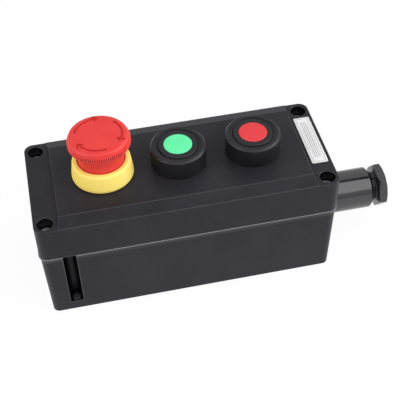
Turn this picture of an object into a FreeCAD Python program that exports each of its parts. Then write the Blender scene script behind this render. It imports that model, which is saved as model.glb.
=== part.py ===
import FreeCAD
import Part
import math
import os

Vector = FreeCAD.Vector

# Explosion-proof button box, in millimetres. The origin is the centre of the flat mounting face,
# +X points out along the cable gland and +Z out through the operators.

# Enclosure: outline of the cover at its corner pads, and heights one above the other
box_length = 192.0
box_width = 80.0
corner_radius = 6.0
base_height = 54.3
cover_height = 24.7
panel_edge_rise = 0.1
panel_rise = 3.0
end_strip = 14.4
panel_end_run = 1.6
panel_side_run = 8.5
panel_ridge_radius = 1.5
pad_edge_radius = 0.5
cover_flare = 0.1
base_rim_proud = 0.4
rim_chamfer = 0.6
rim_flare_height = 4.0
base_shoulder_inset = 0.55
base_foot_inset = 1.9
foot_radius = 0.8

# Walls and the solid corner blocks that carry the screws and the mounting channels
side_wall = 5.0
floor_thickness = 5.0
roof_thickness = 4.0
corner_block_length = 21.5
corner_block_width = 10.0
cavity_corner_radius = 3.0

# Cover gasket in a groove round the cavity
gasket_land = 1.2
gasket_width = 1.8
gasket_depth = 2.0

# Cover screws: places from the box ends and sides, wells, inserts
screw_from_end = 7.2
screw_from_side = 7.3
well_radius = 5.0
well_depth = 14.0
well_chamfer = 0.5
screw_radius = 2.4
screw_hole_radius = 2.75
screw_length = 21.0
screw_head_radius = 4.25
screw_head_height = 5.0
screw_socket_width = 4.0
screw_socket_depth = 2.6
washer_radius = 4.4
washer_thickness = 1.2
washer_split = 0.8
insert_radius = 3.5
insert_length = 12.0

# Mounting channels: two, at opposite corners, open to the side wall
channel_from_end = 18.2
channel_from_side = 5.0
channel_radius = 4.2
channel_floor = 8.2
mounting_hole_radius = 2.75

# Nameplate on the end strip
plate_length = 44.2
plate_width = 10.6
plate_thickness = 0.6
plate_corner_radius = 0.8
plate_from_end = 7.8
plate_shift = 2.3

# Fits between pieces
fit_clearance = 0.05
running_clearance = 0.1
cap_clearance = 0.3

# Operators in a row along X, with barrels through the cover
operator_from_end = 47.5
barrel_radius = 11.0
barrel_hole_clearance = 0.25
barrel_length = 16.0
barrel_wall = 3.0
spring_chamber_floor = 8.0
lock_nut_wall = 3.0
lock_nut_height = 5.5
seal_thickness = 1.0
seal_width = 5.0
clip_thickness = 0.8
clip_overhang = 2.0
clip_groove_depth = 1.0
clip_gap = 0.2

# Push buttons
button_travel = 4.0
collar_radius = 17.6
collar_height = 14.0
collar_bevel = 1.2
collar_floor = 2.5
collar_step_width = 1.6
collar_step_depth = 0.6
cap_radius = 12.7
cap_height = 6.2
cap_proud = 0.2
cap_edge_radius = 0.8
disc_radius = 9.1
disc_recess = 1.5
disc_thickness = 1.9
disc_edge_radius = 0.6
button_stem_radius = 4.5
tenon_radius = 2.95
tenon_length = 4.5
spring_wire_radius = 0.5
spring_turns = 4

# Emergency stop: heights above the panel
estop_travel = 6.0
shroud_radius = 19.6
shroud_top_radius = 18.2
shroud_height = 13.0
shroud_base_height = 2.4
shroud_foot_radius = 1.8
shroud_edge_radius = 1.6
neck_clearance = 0.6
shroud_floor = 2.5
flange_width = 1.2
flange_height = 2.5
head_radius = 19.5
head_top_radius = 18.4
head_top = 32.4
head_side_height = 4.4
head_rim_height = 0.5
head_rim_radius = 1.2
head_crown_radius = 3.9
head_cone_height = 7.6
neck_radius = 14.6
neck_wall = 2.0
neck_end_gap = 1.0
hub_wall = 2.3
hub_end_gap = 3.0
head_plate = 5.5
estop_stem_radius = 5.0
stem_flange_width = 1.5
stem_flange_height = 3.0
stem_flange_gap = 0.2
stem_top = 22.0
retainer_height = 3.4
retainer_gap = 0.1
spring_flange_clearance = 0.8
spring_flange_height = 2.0
spring_flange_low = 6.5

# Mounting rail with its floor bosses and screws
rail_from_end = 21.0
rail_width = 35.0
rail_channel_width = 27.0
rail_height = 7.5
rail_thickness = 1.0
boss_radius = 5.0
boss_rise = 3.0
rail_screw_radius = 1.65
rail_screw_depth = 5.0
rail_screw_head_radius = 3.5
rail_screw_head_height = 2.4
screw_slot_width = 0.9
screw_slot_depth = 1.0

# Contact blocks on the rail, one under each operator
block_length = 26.0
hook_width = 3.5
hook_drop = 3.0
hook_reach = 1.0
hook_clearance = 0.3
contact_spring_pressed = 5.5
terminal_step_width = 7.0
block_floor = 2.0
block_roof = 4.0
chamber_wall = 2.0
chamber_back = 6.0
lid_thickness = 1.5
lid_margin = 1.0
plunger_radius = 4.0
plunger_reserve = 1.5
carrier_length = 9.0
carrier_width = 8.0
carrier_cap = 0.8
carrier_foot = 3.0
bridge_end_gap = 2.0
bridge_width = 5.0
bridge_thickness = 1.0
strip_thickness = 1.0
strip_overlap = 3.0
strip_end_gap = 0.5
tip_radius = 1.4
tip_height = 1.0
make_gap = 0.1
terminal_screw_radius = 1.5
terminal_screw_depth = 8.0
terminal_head_radius = 2.8
terminal_head_height = 2.0
contact_spring_radius = 3.0
contact_wire_radius = 0.4
contact_spring_turns = 3

# Earth terminal in the rail's channel
earth_length = 8.0
earth_width = 16.0
earth_height = 12.0
earth_from_rail_end = 5.0
earth_wire_radius = 2.2
earth_wire_rise = 4.2
earth_screw_radius = 1.95
earth_screw_depth = 6.0
earth_head_radius = 3.2
earth_head_height = 2.5

# Cable gland on the +X end wall
gland_height = 28.1
gland_pad_radius = 14.6
gland_pad_inset = 0.4
gland_radius = 14.1
gland_length = 36.2
gland_chamfer = 1.0
gland_seal_outer = 13.0
spigot_radius = 10.0
spigot_length = 15.5
spigot_bore = 7.5
gland_lock_width = 27.0
gland_lock_height = 6.0
bush_radius = 10.9
bush_bore = 5.0
bush_length = 14.0
bush_seat = 12.4
nut_advance = 4.0
nut_start_gap = 0.2
thrust_washer_radius = 10.7
thrust_washer_thickness = 1.5
nut_shank_radius = 11.0
nut_bore = 6.5
nut_shank_length = 8.9
nut_hex_width = 27.0
nut_hex_length = 5.7
nut_hex_turn = 7.0
nut_chamfer = 0.9

# Heights and half sizes that several pieces share
seam_z = base_height
rim_grow = cover_flare + base_rim_proud
pad_z = seam_z + cover_height
panel_edge_z = pad_z + panel_edge_rise
panel_z = pad_z + panel_rise
ceiling_z = panel_z - roof_thickness
cavity_x = box_length / 2 - side_wall
cavity_y = box_width / 2 - side_wall
screw_x = box_length / 2 - screw_from_end
screw_y = box_width / 2 - screw_from_side
channel_x = box_length / 2 - channel_from_end
channel_y = box_width / 2 - channel_from_side
well_floor_z = pad_z - well_depth
panel_length = box_length - 2 * end_strip
panel_top_length = panel_length - 2 * panel_end_run
panel_top_width = box_width - 2 * panel_side_run
operator_pitch = box_length / 2 - operator_from_end
spring_chamber_radius = barrel_radius - barrel_wall
barrel_bottom_z = panel_z - barrel_length
spring_seat_z = barrel_bottom_z + spring_chamber_floor
rail_length = box_length - 2 * rail_from_end
rail_z = floor_thickness + boss_rise
rail_top_z = rail_z + rail_height
rail_screw_x = operator_pitch / 2
hub_bore = estop_stem_radius + stem_flange_width + stem_flange_gap
shroud_floor_z = panel_z + shroud_floor
block_width = rail_width + 2 * hook_width
chamber_width = block_width - 2 * (terminal_step_width + chamber_wall)
bridge_length = chamber_width - 2 * bridge_end_gap
strip_inner = bridge_length / 2 - strip_overlap
strip_outer = block_width / 2 - strip_end_gap
chamber_floor_z = rail_top_z + block_floor
closed_bridge_z = chamber_floor_z + contact_spring_pressed + estop_travel + carrier_foot
step_z = closed_bridge_z + bridge_thickness + tip_height
open_bridge_z = step_z + strip_thickness + tip_height + button_travel + make_gap
chamber_top_z = open_bridge_z + bridge_thickness + carrier_cap + make_gap
block_top_z = chamber_top_z + block_roof
plunger_top_z = block_top_z + estop_travel + plunger_reserve
gland_face_x = box_length / 2 - gland_pad_inset
bush_seat_x = gland_face_x + bush_seat
washer_x = bush_seat_x + bush_length + nut_start_gap + nut_advance
nut_x = washer_x + thrust_washer_thickness
tiny = 0.001


# Shapes that several pieces are made from


def rounded_profile(points):
    """Closed wire in the XZ plane through (x, z) points; a third value rounds that corner."""
    places = [Vector(point[0], 0, point[1]) for point in points]
    edges = []
    stretches = []
    for index, point in enumerate(points):
        here = places[index]
        start = here
        stop = here
        if len(point) > 2:
            radius = point[2]
            back = (places[index - 1] - here).normalize()
            ahead = (places[(index + 1) % len(places)] - here).normalize()
            half_angle = back.getAngle(ahead) / 2
            start = here + back * (radius / math.tan(half_angle))
            stop = here + ahead * (radius / math.tan(half_angle))
            inward = (back + ahead).normalize()
            middle = here + inward * (radius / math.sin(half_angle) - radius)
            edges.append(Part.Arc(start, middle, stop).toShape())
        stretches.append((start, stop))
    for index, stretch in enumerate(stretches):
        arrive = stretches[(index + 1) % len(stretches)][0]
        if stretch[1].distanceToPoint(arrive) > tiny:
            edges.append(Part.makeLine(stretch[1], arrive))
    return Part.Wire(Part.__sortEdges__(edges))


def turned(points, x=0.0):
    """Solid turned about a vertical axis at x from its (radius, height) profile."""
    solid = Part.Face(rounded_profile(points)).revolve(Vector(0, 0, 0), Vector(0, 0, 1), 360)
    return solid.translated(Vector(x, 0, 0))


def ring(outer, inner, low, high, x=0.0):
    return turned([(inner, low), (outer, low), (outer, high), (inner, high)], x)


def rod(radius, low, high, x=0.0, y=0.0):
    return Part.makeCylinder(radius, high - low, Vector(x, y, low))


def block(x_range, y_range, z_range):
    size = [ends[1] - ends[0] for ends in (x_range, y_range, z_range)]
    return Part.makeBox(*size, Vector(x_range[0], y_range[0], z_range[0]))


def along_y(points, half_length):
    """Prism of an XZ profile, centred on Y."""
    prism = Part.Face(rounded_profile(points)).extrude(Vector(0, 2 * half_length, 0))
    return prism.translated(Vector(0, -half_length, 0))


def along_x(points, half_length):
    """Prism of a YZ profile, centred on X."""
    return along_y(points, half_length).rotated(Vector(0, 0, 0), Vector(0, 0, 1), 90)


def rounded_rectangle(length, width, radius, height):
    corners = [(-length / 2, -width / 2, radius), (length / 2, -width / 2, radius)]
    corners += [(length / 2, width / 2, radius), (-length / 2, width / 2, radius)]
    flat = rounded_profile(corners).rotated(Vector(0, 0, 0), Vector(1, 0, 0), 90)
    return flat.translated(Vector(0, 0, height))


def hexagon(width, low, high, x=0.0):
    corner = width / 2 / math.cos(math.pi / 6)
    turns = [math.pi / 3 * side for side in range(7)]
    outline = [Vector(x + corner * math.cos(turn), corner * math.sin(turn), low) for turn in turns]
    return Part.Face(Part.makePolygon(outline)).extrude(Vector(0, 0, high - low))


def edges_at(shape, height):
    return [edge for edge in shape.Edges if all(abs(v.Z - height) < tiny for v in edge.Vertexes)]


def plus_prism(grow, low, high):
    """Prism of the cavity's plan, which steps in round the corner blocks, grown outwards."""
    long_x = cavity_x + grow
    short_x = cavity_x - corner_block_length + grow
    long_y = cavity_y + grow
    short_y = cavity_y - corner_block_width + grow
    lengthways = block((-long_x, long_x), (-short_y, short_y), (low, high))
    across = block((-short_x, short_x), (-long_y, long_y), (low, high))
    prism = lengthways.fuse(across).removeSplitter()
    outer_corners = []
    inner_corners = []
    for edge in prism.Edges:
        middle = edge.CenterOfMass
        if edge.BoundBox.ZLength < high - low - tiny:
            continue
        if abs(abs(middle.x) - short_x) < tiny and abs(abs(middle.y) - short_y) < tiny:
            inner_corners.append(middle)
        else:
            outer_corners.append(middle)
    outer_radius = cavity_corner_radius + grow
    for corners, radius in ((outer_corners, outer_radius), (inner_corners, cavity_corner_radius)):
        upright = [edge for edge in prism.Edges if any(edge.CenterOfMass.isEqual(c, tiny) for c in corners)]
        prism = prism.makeFillet(radius, upright)
    return prism


def coil_spring(mean_radius, wire_radius, low, high, turns, x):
    """Coil spring of round wire: half turns, each tilted to rise half a pitch, that meet tangent."""
    half_turns = 2 * turns
    rise = (high - low - 2 * wire_radius) / half_turns
    coil = []
    for step in range(half_turns):
        side = -1 if step % 2 else 1
        start = Vector(side * mean_radius, 0, low + wire_radius + step * rise)
        middle = Vector(0, 0, start.z + rise / 2)
        along = Vector(0, side, 0)
        wire_end = Part.Face(Part.Wire(Part.makeCircle(wire_radius, start, along)))
        coil.append(wire_end.revolve(middle, (start - middle).cross(along), 180))
    return coil[0].fuse(coil[1:]).translated(Vector(x, 0, 0))


def screw(radius, length, head_radius, head_height, under_head_z, x, y):
    """Cheese-head screw with a driver slot."""
    shank = rod(radius, under_head_z - length, under_head_z, x, y)
    head = rod(head_radius, under_head_z, under_head_z + head_height, x, y)
    top = under_head_z + head_height
    half = screw_slot_width / 2
    slot = block((x - head_radius, x + head_radius), (y - half, y + half), (top - screw_slot_depth, top))
    return head.cut(slot).fuse(shank)


def four_corners():
    return [(sx * screw_x, sy * screw_y) for sx in (-1, 1) for sy in (-1, 1)]


# Enclosure


def base_outline(height, inset):
    length = box_length - 2 * inset
    width = box_width - 2 * inset
    return rounded_rectangle(length, width, corner_radius - inset, height)


def make_base_box():
    outlines = [base_outline(0, base_foot_inset)]
    outlines.append(base_outline(seam_z - rim_flare_height, base_shoulder_inset))
    outlines.append(base_outline(seam_z - rim_chamfer, -rim_grow))
    outlines.append(base_outline(seam_z, rim_chamfer - rim_grow))
    tray = Part.makeLoft(outlines, True, True)
    tray = tray.makeFillet(foot_radius, edges_at(tray, 0))
    pad = on_gland_axis(rod(gland_pad_radius, cavity_x, gland_face_x))
    tray = tray.fuse(pad).removeSplitter()
    entry = on_gland_axis(rod(spigot_radius + running_clearance, 0, box_length))
    cuts = [plus_prism(0, floor_thickness, seam_z), entry, make_cover_gasket()]
    for x, y in four_corners():
        cuts.append(rod(insert_radius + fit_clearance, seam_z - insert_length, seam_z, x, y))
    for side in (-1, 1):
        cuts += mounting_channel(side)
    tray = tray.cut(cuts)
    bosses = []
    for x in (-rail_screw_x, rail_screw_x):
        bosses.append(rod(boss_radius, floor_thickness, rail_z, x))
    holes = []
    for x in (-rail_screw_x, rail_screw_x):
        low = rail_z + rail_thickness - rail_screw_depth
        holes.append(rod(rail_screw_radius + fit_clearance, low, rail_z, x))
    return tray.fuse(bosses).cut(holes).removeSplitter()


def mounting_channel(side):
    """Round-backed channel open to the side wall, with a screw hole through its floor."""
    x = side * channel_x
    y = side * channel_y
    back = rod(channel_radius, channel_floor, seam_z, x, y)
    mouth_y = sorted((y, side * (box_width / 2 + rim_grow)))
    mouth = block((x - channel_radius, x + channel_radius), mouth_y, (channel_floor, seam_z))
    return [back, mouth, rod(mounting_hole_radius, 0, channel_floor, x, y)]


def cover_outline(height):
    grow = cover_flare * (pad_z - height) / cover_height
    length = box_length + 2 * grow
    width = box_width + 2 * grow
    return rounded_rectangle(length, width, corner_radius + grow, height)


def make_cover():
    rim = Part.makeLoft([cover_outline(seam_z), cover_outline(pad_z)], True, True)
    rim = rim.makeFillet(pad_edge_radius, edges_at(rim, pad_z))
    cover = rim.fuse(raised_panel()).removeSplitter()
    pocket_x = panel_top_length / 2 - roof_thickness
    pocket_y = panel_top_width / 2 - roof_thickness
    pad_ceiling_z = pad_z - roof_thickness
    cuts = [plus_prism(0, seam_z, pad_ceiling_z)]
    cuts.append(block((-pocket_x, pocket_x), (-pocket_y, pocket_y), (pad_ceiling_z - tiny, ceiling_z)))
    for x in (-operator_pitch, 0, operator_pitch):
        cuts.append(rod(barrel_radius + barrel_hole_clearance, ceiling_z, panel_z, x))
    for x, y in four_corners():
        cuts.append(screw_well().translated(Vector(x, y, 0)))
        cuts.append(rod(screw_hole_radius, seam_z, well_floor_z, x, y))
    return cover.cut(cuts)


def screw_well():
    mouth = well_radius + well_chamfer
    profile = [(0, well_floor_z), (well_radius, well_floor_z), (well_radius, pad_z - well_chamfer)]
    return turned(profile + [(mouth, pad_z), (0, pad_z)])


def raised_panel():
    """Panel that slopes up from the long edges of the cover and stops short of its ends."""
    foot_z = pad_z - 2 * pad_edge_radius
    past_y = box_width / 2 + cover_flare
    edge_y = box_width / 2
    ridge_y = panel_top_width / 2
    across = [(-past_y, foot_z), (past_y, foot_z), (past_y, panel_edge_z), (edge_y, panel_edge_z)]
    across += [(ridge_y, panel_z, panel_ridge_radius), (-ridge_y, panel_z, panel_ridge_radius)]
    across += [(-edge_y, panel_edge_z), (-past_y, panel_edge_z)]
    end_x = panel_length / 2
    top_x = panel_top_length / 2
    lengthways = [(-end_x, foot_z), (end_x, foot_z), (end_x, panel_edge_z), (top_x, panel_z)]
    lengthways += [(-top_x, panel_z), (-end_x, panel_edge_z)]
    sides = Part.makeLoft([cover_outline(foot_z), cover_outline(panel_z)], True, True)
    return along_x(across, end_x).common(along_y(lengthways, past_y)).common(sides)


def make_cover_gasket():
    low = seam_z - gasket_depth
    return plus_prism(gasket_land + gasket_width, low, seam_z).cut(plus_prism(gasket_land, low, seam_z))


def make_cover_screws():
    under_head = well_floor_z + washer_thickness
    top = under_head + screw_head_height
    screws = []
    for x, y in four_corners():
        shank = rod(screw_radius, under_head - screw_length, under_head, x, y)
        socket = hexagon(screw_socket_width, top - screw_socket_depth, top, x).translated(Vector(0, y, 0))
        screws.append(rod(screw_head_radius, under_head, top, x, y).cut(socket).fuse(shank))
    return Part.makeCompound(screws)


def make_cover_screw_washers():
    washers = []
    high = well_floor_z + washer_thickness
    for x, y in four_corners():
        washer = ring(washer_radius, screw_hole_radius, well_floor_z, high, x).translated(Vector(0, y, 0))
        split = block((x, x + washer_radius), (y, y + washer_split), (well_floor_z, high))
        washers.append(washer.cut(split))
    return Part.makeCompound(washers)


def make_threaded_inserts():
    inserts = []
    for x, y in four_corners():
        insert = ring(insert_radius, screw_radius + fit_clearance, seam_z - insert_length, seam_z, x)
        inserts.append(insert.translated(Vector(0, y, 0)))
    return Part.makeCompound(inserts)


def make_nameplate():
    outline = rounded_rectangle(plate_width, plate_length, plate_corner_radius, pad_z)
    plate = Part.Face(outline).extrude(Vector(0, 0, plate_thickness))
    return plate.translated(Vector(box_length / 2 - plate_from_end, plate_shift, 0))


# Operators


def make_lock_nut(x):
    low = ceiling_z - lock_nut_height
    hole = rod(barrel_radius + fit_clearance, low, ceiling_z, x)
    return hexagon(2 * (barrel_radius + lock_nut_wall), low, ceiling_z, x).cut(hole)


def make_operator_seal(x):
    inner = barrel_radius + barrel_hole_clearance
    return ring(barrel_radius + seal_width, inner, panel_z, panel_z + seal_thickness, x)


def clip_top_z():
    return barrel_bottom_z - clip_gap


def stem_clip(stem_radius, x):
    """Open snap ring in the stem's groove, just under the barrel."""
    outer = stem_radius + clip_overhang
    inner = stem_radius - clip_groove_depth
    low = clip_top_z() - clip_thickness
    clip = ring(outer, inner, low, clip_top_z(), x)
    mouth = block((x, x + outer), (-inner, inner), (low, clip_top_z()))
    return clip.cut(mouth)


def grooved(stem, stem_radius, x):
    """Stem with the groove that its clip snaps into."""
    low = clip_top_z() - clip_thickness
    groove = ring(2 * stem_radius, stem_radius - clip_groove_depth, low, clip_top_z(), x)
    return stem.cut(groove)


def return_spring(stem_radius, high, x):
    """Spring half way between the stem and the wall of its chamber."""
    mean_radius = (stem_radius + spring_chamber_radius) / 2
    return coil_spring(mean_radius, spring_wire_radius, spring_seat_z, high, spring_turns, x)


def cap_top_z():
    return panel_z + collar_height + cap_proud


def cap_low_z():
    return cap_top_z() - cap_height


def make_button_housing(x):
    """Tall collar with the threaded barrel under it, in one piece."""
    bore = button_stem_radius + running_clearance
    cup = cap_radius + cap_clearance
    top = panel_z + collar_height
    seal_top = panel_z + seal_thickness
    seal_edge = barrel_radius + seal_width
    profile = [(bore, barrel_bottom_z), (barrel_radius, barrel_bottom_z), (barrel_radius, seal_top)]
    profile += [(seal_edge, seal_top), (seal_edge, panel_z), (collar_radius, panel_z)]
    profile += [(collar_radius, top - collar_bevel), (collar_radius - collar_bevel, top)]
    profile += [(cup + collar_step_width, top), (cup + collar_step_width, top - collar_step_depth)]
    profile += [(cup, top - collar_step_depth), (cup, panel_z + collar_floor)]
    profile += [(spring_chamber_radius, panel_z + collar_floor), (spring_chamber_radius, spring_seat_z)]
    profile += [(bore, spring_seat_z)]
    return turned(profile, x)


def make_button_cap(x):
    bore = tenon_radius + fit_clearance
    recess = disc_radius + fit_clearance
    top = cap_top_z()
    profile = [(bore, cap_low_z()), (cap_radius, cap_low_z()), (cap_radius, top, cap_edge_radius)]
    profile += [(recess, top), (recess, top - disc_recess), (bore, top - disc_recess)]
    return turned(profile, x)


def make_button_disc(x):
    low = cap_top_z() - disc_recess
    high = low + disc_thickness
    return turned([(0, low), (disc_radius, low), (disc_radius, high, disc_edge_radius), (0, high)], x)


def make_button_stem(x):
    low = cap_low_z()
    profile = [(0, plunger_top_z), (button_stem_radius, plunger_top_z), (button_stem_radius, low)]
    profile += [(tenon_radius, low), (tenon_radius, low + tenon_length), (0, low + tenon_length)]
    return grooved(turned(profile, x), button_stem_radius, x)


def make_estop_shroud(x):
    """Bell-shaped ring, clamped by its floor between the barrel's flange and the cover."""
    top = panel_z + shroud_height
    inner = neck_radius + neck_clearance
    hole = barrel_radius + fit_clearance
    seal_top = panel_z + seal_thickness
    seal_edge = barrel_radius + seal_width
    profile = [(hole, seal_top), (seal_edge, seal_top), (seal_edge, panel_z)]
    profile += [(shroud_radius, panel_z, shroud_foot_radius)]
    profile += [(shroud_radius, panel_z + shroud_base_height, shroud_edge_radius)]
    profile += [(shroud_top_radius, top, shroud_edge_radius), (inner, top)]
    profile += [(inner, shroud_floor_z), (hole, shroud_floor_z)]
    return turned(profile, x)


def make_estop_barrel(x):
    bore = estop_stem_radius + running_clearance
    flange_radius = barrel_radius + flange_width
    flange_top = shroud_floor_z + flange_height
    profile = [(bore, barrel_bottom_z), (barrel_radius, barrel_bottom_z), (barrel_radius, shroud_floor_z)]
    profile += [(flange_radius, shroud_floor_z), (flange_radius, flange_top)]
    profile += [(spring_chamber_radius, flange_top), (spring_chamber_radius, spring_seat_z)]
    profile += [(bore, spring_seat_z)]
    return turned(profile, x)


def make_estop_stem(x):
    """Rod with a spring flange half way up and the flange that the head turns on at its top."""
    top = panel_z + stem_top
    flange_low = top - stem_flange_height
    flange_radius = estop_stem_radius + stem_flange_width
    spring_radius = spring_chamber_radius - spring_flange_clearance
    spring_low = panel_z + spring_flange_low
    spring_high = spring_low + spring_flange_height
    radius = estop_stem_radius
    profile = [(0, plunger_top_z), (radius, plunger_top_z), (radius, spring_low)]
    profile += [(spring_radius, spring_low), (spring_radius, spring_high), (radius, spring_high)]
    profile += [(radius, flange_low)]
    profile += [(flange_radius, flange_low), (flange_radius, top), (0, top)]
    return grooved(turned(profile, x), radius, x)


def make_estop_head(x):
    """Hollow mushroom head: rounded crown, coned grip, neck skirt, and a hub on the stem's flange."""
    top = panel_z + head_top
    side_z = top - head_side_height
    rim_low = side_z - head_rim_height
    hub_top = panel_z + stem_top
    hub_low = shroud_floor_z + flange_height + estop_travel + hub_end_gap
    neck_low = shroud_floor_z + estop_travel + neck_end_gap
    hub_radius = hub_bore + hub_wall
    skirt = neck_radius - neck_wall
    plate_z = top - head_plate
    profile = [(0, hub_top), (hub_bore, hub_top), (hub_bore, hub_low), (hub_radius, hub_low)]
    profile += [(hub_radius, plate_z), (skirt, plate_z), (skirt, neck_low), (neck_radius, neck_low)]
    profile += [(neck_radius, rim_low - head_cone_height, head_rim_radius)]
    profile += [(head_radius, rim_low, head_rim_radius), (head_radius, side_z)]
    profile += [(head_top_radius, top, head_crown_radius), (0, top)]
    return turned(profile, x)


def make_estop_head_retainer(x):
    high = panel_z + stem_top - stem_flange_height - retainer_gap
    return ring(hub_bore, estop_stem_radius + running_clearance, high - retainer_height, high, x)


# Rail, contact blocks and earth terminal


def make_mounting_rail():
    edge = rail_width / 2
    outer = rail_channel_width / 2
    inner = outer - rail_thickness
    flange_z = rail_top_z - rail_thickness
    web_z = rail_z + rail_thickness
    profile = [(-edge, rail_top_z), (-edge, flange_z), (-outer, flange_z), (-outer, rail_z), (outer, rail_z)]
    profile += [(outer, flange_z), (edge, flange_z), (edge, rail_top_z), (inner, rail_top_z), (inner, web_z)]
    profile += [(-inner, web_z), (-inner, rail_top_z)]
    rail = along_x(profile, rail_length / 2)
    holes = [rod(rail_screw_radius + fit_clearance, rail_z, web_z, x) for x in (-rail_screw_x, rail_screw_x)]
    return rail.cut(holes)


def make_rail_screws():
    web_z = rail_z + rail_thickness
    sizes = (rail_screw_radius, rail_screw_depth, rail_screw_head_radius, rail_screw_head_height)
    return Part.makeCompound([screw(*sizes, web_z, x, 0) for x in (-rail_screw_x, rail_screw_x)])


def terminal_y():
    return block_width / 2 - terminal_step_width / 2


def make_contact_block(x):
    """Housing that hooks over the rail, with a terminal step at each end and a chamber inside."""
    end = block_width / 2
    shoulder = end - terminal_step_width
    slot = rail_width / 2 + hook_clearance
    lip = rail_width / 2 - hook_reach
    foot_z = rail_top_z - hook_drop
    lip_z = rail_top_z - rail_thickness - hook_clearance
    right = [(slot, rail_top_z), (slot, lip_z), (lip, lip_z), (lip, foot_z), (end, foot_z), (end, step_z)]
    right += [(shoulder, step_z), (shoulder, block_top_z)]
    left = [(-y, z) for y, z in reversed(right)]
    housing = along_x(right + left, block_length / 2)
    lid_x = block_length / 2 - lid_thickness
    half = chamber_width / 2
    chamber = block((-chamber_back, lid_x), (-half, half), (chamber_floor_z, chamber_top_z))
    rebate_y = half + lid_margin
    rebate_z = (chamber_floor_z - lid_margin, chamber_top_z + lid_margin)
    rebate = block((lid_x, block_length / 2), (-rebate_y, rebate_y), rebate_z)
    guide = rod(plunger_radius + running_clearance, chamber_top_z, block_top_z)
    slot_x = bridge_width / 2 + fit_clearance
    strip_top = step_z + strip_thickness + fit_clearance
    strips = block((-slot_x, slot_x), (-shoulder, shoulder), (step_z, strip_top))
    hole_radius = terminal_screw_radius + fit_clearance
    hole_low = step_z - terminal_screw_depth
    holes = [rod(hole_radius, hole_low, step_z, 0, side * terminal_y()) for side in (-1, 1)]
    return housing.cut([chamber, rebate, guide, strips] + holes).translated(Vector(x, 0, 0))


def make_contact_block_lids():
    half_y = chamber_width / 2 + lid_margin - fit_clearance
    low = chamber_floor_z - lid_margin + fit_clearance
    high = chamber_top_z + lid_margin - fit_clearance
    lids = []
    for x in (-operator_pitch, 0, operator_pitch):
        outer_x = x + block_length / 2
        lids.append(block((outer_x - lid_thickness, outer_x), (-half_y, half_y), (low, high)))
    return Part.makeCompound(lids)


def bridge_low_z(normally_closed):
    return closed_bridge_z if normally_closed else open_bridge_z


def make_contact_plunger(x, normally_closed):
    """Button rod on a carrier with a window for the bridge."""
    bridge_z = bridge_low_z(normally_closed)
    foot_z = bridge_z - carrier_foot
    top_z = chamber_top_z - make_gap
    half_x = carrier_length / 2
    half_y = carrier_width / 2
    carrier = block((-half_x, half_x), (-half_y, half_y), (foot_z, top_z))
    window_x = bridge_width / 2 + fit_clearance
    window = block((-window_x, window_x), (-half_y, half_y), (bridge_z, bridge_z + bridge_thickness))
    plunger = carrier.cut(window).fuse(rod(plunger_radius, top_z, plunger_top_z))
    return plunger.translated(Vector(x, 0, 0))


def make_contact_bridge(x, normally_closed):
    low = bridge_low_z(normally_closed)
    half_x = bridge_width / 2
    half_y = bridge_length / 2
    return block((x - half_x, x + half_x), (-half_y, half_y), (low, low + bridge_thickness))


def make_fixed_contacts(x, normally_closed):
    """Two strips from the terminals into the chamber, each with a contact tip facing the bridge."""
    half_x = bridge_width / 2
    strip_top = step_z + strip_thickness
    tip_low = step_z - tip_height if normally_closed else strip_top
    contacts = []
    for side in (-1, 1):
        y_range = sorted((side * strip_inner, side * strip_outer))
        strip = block((x - half_x, x + half_x), y_range, (step_z, strip_top))
        hole = rod(terminal_screw_radius + fit_clearance, step_z, strip_top, x, side * terminal_y())
        tip = rod(tip_radius, tip_low, tip_low + tip_height, x, side * (strip_inner + tip_radius))
        contacts.append(strip.cut(hole).fuse(tip))
    return Part.makeCompound(contacts)


def make_contact_spring(x, normally_closed):
    high = bridge_low_z(normally_closed) - carrier_foot
    wire = (contact_spring_radius, contact_wire_radius)
    return coil_spring(*wire, chamber_floor_z, high, contact_spring_turns, x)


def make_terminal_screws():
    under_head = step_z + strip_thickness
    sizes = (terminal_screw_radius, terminal_screw_depth, terminal_head_radius, terminal_head_height)
    screws = []
    for x in (-operator_pitch, 0, operator_pitch):
        for side in (-1, 1):
            screws.append(screw(*sizes, under_head, x, side * terminal_y()))
    return Part.makeCompound(screws)


def earth_x():
    return earth_from_rail_end - rail_length / 2


def make_earth_terminal():
    low = rail_z + rail_thickness
    high = low + earth_height
    half_x = earth_length / 2
    half_y = earth_width / 2
    post = block((earth_x() - half_x, earth_x() + half_x), (-half_y, half_y), (low, high))
    wire_place = Vector(earth_x(), -half_y, low + earth_wire_rise)
    wire_hole = Part.makeCylinder(earth_wire_radius, earth_width, wire_place, Vector(0, 1, 0))
    screw_hole = rod(earth_screw_radius + fit_clearance, low + earth_wire_rise, high, earth_x())
    return post.cut([wire_hole, screw_hole])


def make_earth_screw():
    high = rail_z + rail_thickness + earth_height
    sizes = (earth_screw_radius, earth_screw_depth, earth_head_radius, earth_head_height)
    return screw(*sizes, high, earth_x(), 0)


# Cable gland


def on_gland_axis(shape):
    """Lays a shape turned about the vertical axis along the gland's axis."""
    laid = shape.rotated(Vector(0, 0, 0), Vector(0, 1, 0), 90)
    return laid.translated(Vector(0, 0, gland_height))


def make_gland_body():
    """Smooth body against the end wall, with the threaded spigot that passes through it."""
    end = gland_face_x + gland_length
    bore = nut_shank_radius + fit_clearance
    seal_x = gland_face_x + seal_thickness
    profile = [(spigot_bore, gland_face_x - spigot_length), (spigot_radius, gland_face_x - spigot_length)]
    profile += [(spigot_radius, seal_x), (gland_seal_outer, seal_x), (gland_seal_outer, gland_face_x)]
    profile += [(gland_radius, gland_face_x), (gland_radius, end - gland_chamfer)]
    profile += [(gland_radius - gland_chamfer, end), (bore, end), (bore, bush_seat_x)]
    profile += [(spigot_bore, bush_seat_x)]
    return on_gland_axis(turned(profile))


def make_gland_face_seal():
    inner = spigot_radius + running_clearance
    return on_gland_axis(ring(gland_seal_outer, inner, gland_face_x, gland_face_x + seal_thickness))


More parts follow.
